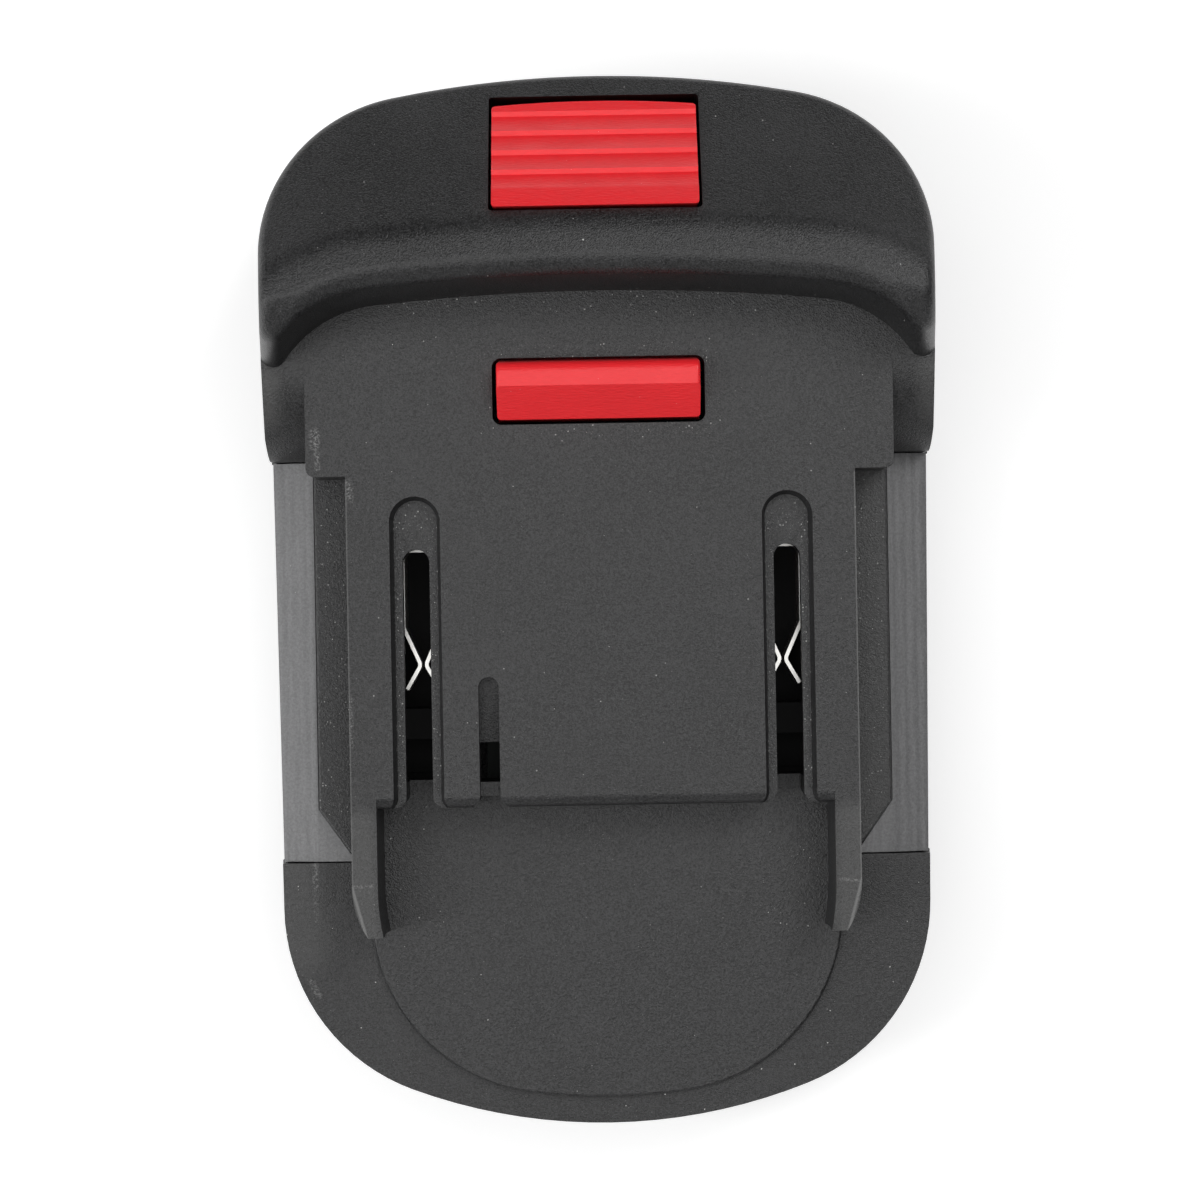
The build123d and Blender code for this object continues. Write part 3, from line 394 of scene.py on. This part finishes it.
grip_colour = (0.158, 0.158, 0.161)
grip_darker, grip_lighter = 0.82, 1.18
grip_lines = (0.35 * MM, 2.0, 0.5)
grip_lines_scale = (1, 0.08, 1)
grip_grain = (0.3 * MM, 2.0, 0.7)
grip_grain_share = 0.7
grip_range = (0.38, 0.62)
grip_relief = (0.06 * MM, 0.8)
grip_roughness = 0.45
# Size, spacing, share of the cells that holds one, and strength
grip_specks = (0.12 * MM, 0.5 * MM, 0.03, 0.5)


def grip_material():
    """Grey satin plastic with fine lines along the sides."""
    material, tree, shader = new_material("grip_plastic")
    lines = noise(tree, *grip_lines, grip_lines_scale)
    tone = blend(tree, lines, noise(tree, *grip_grain), grip_grain_share)
    dark, light = shade(grip_colour, grip_darker), shade(grip_colour, grip_lighter)
    colour = mix(tree, remap(tree, tone, *grip_range), dark, light)
    colour = mix(tree, specks(tree, *grip_specks), colour, dust_and_painted_light_colour)
    tree.links.new(colour, shader.inputs["Base Color"])
    shader.inputs["Roughness"].default_value = grip_roughness
    tree.links.new(bump(tree, tone, *grip_relief), shader.inputs["Normal"])
    return material


# Red latch

latch_colour = (0.94, 0.022, 0.030)
latch_darker = 0.90
latch_dust_colour = (0.9, 0.45, 0.45)
latch_cloud = (3 * MM, 3.0, 0.5)
latch_lines = (0.2 * MM, 2.0, 0.5)
latch_lines_scale = (0.25, 1, 1)
latch_lines_share = 0.5
latch_relief = (0.06 * MM, 0.8)
latch_roughness = (0.36, 0.46)
latch_specks = (0.12 * MM, 0.5 * MM, 0.035, 0.7)


def latch_material():
    """Red satin plastic with fine lines across."""
    material, tree, shader = new_material("latch_plastic")
    cloud = noise(tree, *latch_cloud)
    lines = noise(tree, *latch_lines, latch_lines_scale)
    tone = remap(tree, blend(tree, cloud, lines, latch_lines_share), *most_of_noise)
    colour = mix(tree, tone, latch_colour, shade(latch_colour, latch_darker))
    colour = mix(tree, specks(tree, *latch_specks), colour, latch_dust_colour)
    roughness = remap(tree, cloud, *most_of_noise, *latch_roughness)
    tree.links.new(colour, shader.inputs["Base Color"])
    tree.links.new(roughness, shader.inputs["Roughness"])
    tree.links.new(bump(tree, lines, *latch_relief), shader.inputs["Normal"])
    return material


# Plain finishes: colour, roughness, metallic and gloss

plain_finishes = {
    "inner_plastic": ((0.006, 0.006, 0.0065), 0.7, 0.0, 0.25),
    "tinned_contact": ((0.88, 0.87, 0.84), 0.32, 1.0, 0.5),
    "spring_steel": ((0.55, 0.55, 0.53), 0.3, 1.0, 0.5),
    "screw_steel": ((0.14, 0.14, 0.145), 0.4, 1.0, 0.5),
    # The board is coloured nearly black, darker than its own green: painted shade for the dark
    # inside of the slots
    "circuit_board": ((0.003, 0.009, 0.006), 0.5, 0.0, 0.3),
    "chip_plastic": ((0.02, 0.02, 0.02), 0.5, 0.0, 0.5),
    "capacitor_can": ((0.7, 0.7, 0.71), 0.3, 1.0, 0.5),
    "red_lead_cover": ((0.45, 0.01, 0.01), 0.4, 0.0, 0.5),
    "black_lead_cover": ((0.012, 0.012, 0.012), 0.4, 0.0, 0.5),
}
plain_darker = 0.88
plain_grain = (0.4 * MM, 2.0, 0.5)
plain_relief = (0.01 * MM, 0.5)


def plain_material(name, colour, roughness, metallic, gloss):
    """A finish with a slight grain and a slight change of tone."""
    material, tree, shader = new_material(name)
    grain = noise(tree, *plain_grain)
    tone = remap(tree, grain, *most_of_noise)
    mixed = mix(tree, tone, shade(colour, plain_darker), colour)
    tree.links.new(mixed, shader.inputs["Base Color"])
    shader.inputs["Metallic"].default_value = metallic
    shader.inputs["Roughness"].default_value = roughness
    shader.inputs["Specular IOR Level"].default_value = gloss
    tree.links.new(bump(tree, grain, *plain_relief), shader.inputs["Normal"])
    return material


materials = {
    "casing_plastic": casing_material(),
    "grip_plastic": grip_material(),
    "latch_plastic": latch_material(),
}
for name, finish in plain_finishes.items():
    materials[name] = plain_material(name, *finish)

for subpart in frame["record"]["subparts"]:
    mesh = nodes[subpart["node"]].data
    mesh.materials.clear()
    mesh.materials.append(materials[subpart["material_slot"]])


# Rounded edges

edge_rounds = {
    "upper_casing": 0.22 * MM,
    "lower_casing": 0.25 * MM,
    "release_latch": 0.22 * MM,
    "side_grip_left": 0.15 * MM,
    "side_grip_right": 0.15 * MM,
    "clip_carrier_left": 0.2 * MM,
    "clip_carrier_right": 0.2 * MM,
    "blade_holder": 0.3 * MM,
}
weld_distance = 0.001 * MM
hard_edge = radians(32)
round_segments = 3
large_face_weight = 80


def round_edges(node, width):
    """Rounds the hard edges of a node as it is drawn, without a change to its mesh."""
    weld = node.modifiers.new("weld", "WELD")
    weld.merge_threshold = weld_distance
    bevel = node.modifiers.new("bevel", "BEVEL")
    bevel.width = width
    bevel.segments = round_segments
    bevel.limit_method = "ANGLE"
    bevel.angle_limit = hard_edge
    bevel.use_clamp_overlap = True
    bevel.miter_outer = "MITER_ARC"
    bevel.harden_normals = False
    normals = node.modifiers.new("normals", "WEIGHTED_NORMAL")
    normals.keep_sharp = False
    normals.weight = large_face_weight


for name, width in edge_rounds.items():
    round_edges(nodes[name], width)


# Coil springs under the latch

spring_wire = 0.6 * MM
spring_turns = 6
end_turn_rise = 0.62 * MM
# Corners around the wire, and the step along it
ring_points = 12
ring_step = radians(10)


def spring_rise(turn, height):
    """How high the wire is after so many turns: close end turns, open turns between."""
    open_rise = (height - 2 * end_turn_rise) / (spring_turns - 2)
    if turn < 1:
        return turn * end_turn_rise
    if turn > spring_turns - 1:
        return height - (spring_turns - turn) * end_turn_rise
    return end_turn_rise + (turn - 1) * open_rise


def spring_path(low, high):
    """Points along the middle of the wire, each with its direction out from the axis."""
    middle = (low + high) / 2
    radius = (high.x - low.x - spring_wire) / 2
    height = high.z - low.z - spring_wire
    path = []
    for step in range(round(spring_turns * 2 * pi / ring_step) + 1):
        angle = step * ring_step
        out = Vector((cos(angle), sin(angle), 0))
        rise = low.z + spring_wire / 2 + spring_rise(angle / (2 * pi), height)
        path.append((Vector((middle.x, middle.y, rise)) + radius * out, out))
    return path


def wire_ring(mesh, point, out, up):
    """A ring of corners around the wire."""
    turns = [2 * pi * index / ring_points for index in range(ring_points)]
    corners = [point + spring_wire / 2 * (cos(turn) * out + sin(turn) * up) for turn in turns]
    return [mesh.verts.new(corner) for corner in corners]


def wire_mesh(name, path):
    """A round wire along a path, closed at both ends."""
    mesh = bmesh.new()
    rings = []
    last = len(path) - 1
    for step, (point, out) in enumerate(path):
        along = (path[min(step + 1, last)][0] - path[max(step - 1, 0)][0]).normalized()
        rings.append(wire_ring(mesh, point, out, along.cross(out).normalized()))
    for first, second in zip(rings, rings[1:]):
        for index in range(ring_points):
            following = (index + 1) % ring_points
            mesh.faces.new((first[index], first[following], second[following], second[index]))
    mesh.faces.new(rings[0])
    mesh.faces.new(rings[-1])
    bmesh.ops.recalc_face_normals(mesh, faces=mesh.faces)
    data = bpy.data.meshes.new(name)
    mesh.to_mesh(data)
    mesh.free()
    data.polygons.foreach_set("use_smooth", [True] * len(data.polygons))
    return data


def add_spring(name, node):
    """A coil spring in the place of its node, which it hides, attached to the housing."""
    low, high = (Vector(corner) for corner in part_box(node))
    data = wire_mesh(name, spring_path(low, high))
    data.materials.append(materials["spring_steel"])
    spring = add_object(name, data)
    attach(spring, "housing")
    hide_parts(node)
    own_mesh(spring)


add_spring("coil_spring_left", "latch_spring_left")
add_spring("coil_spring_right", "latch_spring_right")


# Floor and world

floor_half = 1.5
floor_colour = (0.86, 0.86, 0.86)
floor_roughness = 0.9
floor_glow = 0.42
world_light = 0.02


def ray_is(tree, *kinds):
    """One for a ray of any of these kinds, and zero for the others."""
    rays = tree.nodes.new("ShaderNodeLightPath").outputs
    result = rays[kinds[0]]
    for kind in kinds[1:]:
        result = value_math(tree, "MAXIMUM", result, rays[kind])
    return result


def add_seen_glow(tree, shader_output, strength, output):
    """Adds a glow that the camera, reflections and glass see, but that lights nothing."""
    seen = ray_is(tree, "Is Camera Ray", "Is Glossy Ray", "Is Transmission Ray")
    glow = tree.nodes.new("ShaderNodeEmission")
    tree.links.new(value_math(tree, "MULTIPLY", seen, strength), glow.inputs["Strength"])
    add = tree.nodes.new("ShaderNodeAddShader")
    tree.links.new(shader_output, add.inputs[0])
    tree.links.new(glow.outputs["Emission"], add.inputs[1])
    tree.links.new(add.outputs["Shader"], output)


def add_floor():
    """A plain pale floor that keeps the object's shadow."""
    sides = ((-1, -1), (1, -1), (1, 1), (-1, 1))
    mesh = bpy.data.meshes.new("floor")
    mesh.from_pydata([(x * floor_half, y * floor_half, 0) for x, y in sides], [], [(0, 1, 2, 3)])
    material, tree, shader = new_material("floor")
    shader.inputs["Base Color"].default_value = (*floor_colour, 1)
    shader.inputs["Roughness"].default_value = floor_roughness
    shader.inputs["Specular IOR Level"].default_value = 0.0
    output = tree.nodes["Material Output"].inputs["Surface"]
    add_seen_glow(tree, shader.outputs["BSDF"], floor_glow, output)
    mesh.materials.append(material)
    floor = add_object("floor", mesh)


def set_world():
    """White to the camera and through glass, and a dim even light on the object."""
    world = bpy.data.worlds.new("world")
    scene.world = world
    world.use_nodes = True
    tree = world.node_tree
    background = tree.nodes["Background"]
    background.inputs["Color"].default_value = (1, 1, 1, 1)
    seen = ray_is(tree, "Is Camera Ray", "Is Transmission Ray")
    strength = remap(tree, seen, 0, 1, world_light, 1.0)
    tree.links.new(strength, background.inputs["Strength"])


# Softboxes: place, width, height and watts. All point at light_aim.

softboxes = {
    "overhead": ((0, 0, 0.90), 0.9, 0.9, 4.1),
    "left_mid": ((-0.58, -0.10, 0.42), 0.25, 0.8, 2.9),
    "right_front": ((0.32, 0.32, 0.60), 0.3, 0.3, 1.5),
    "rear_low": ((0, -0.62, 0.30), 0.8, 0.25, 0.65),
}
light_aim = (0, 0, 0.03)


def add_softbox(name, position, width, height, watts):
    """A rectangular light that points at light_aim."""
    data = bpy.data.lights.new(name, "AREA")
    data.shape = "RECTANGLE"
    data.size = width
    data.size_y = height
    data.energy = watts
    light = add_object(name, data)
    light.location = position
    away = Vector(position) - Vector(light_aim)
    light.rotation_euler = away.to_track_quat("Z", "Y").to_euler()


add_camera()
add_floor()
set_world()
for name, softbox in softboxes.items():
    add_softbox(name, *softbox)
scene.view_settings.view_transform = "Standard"
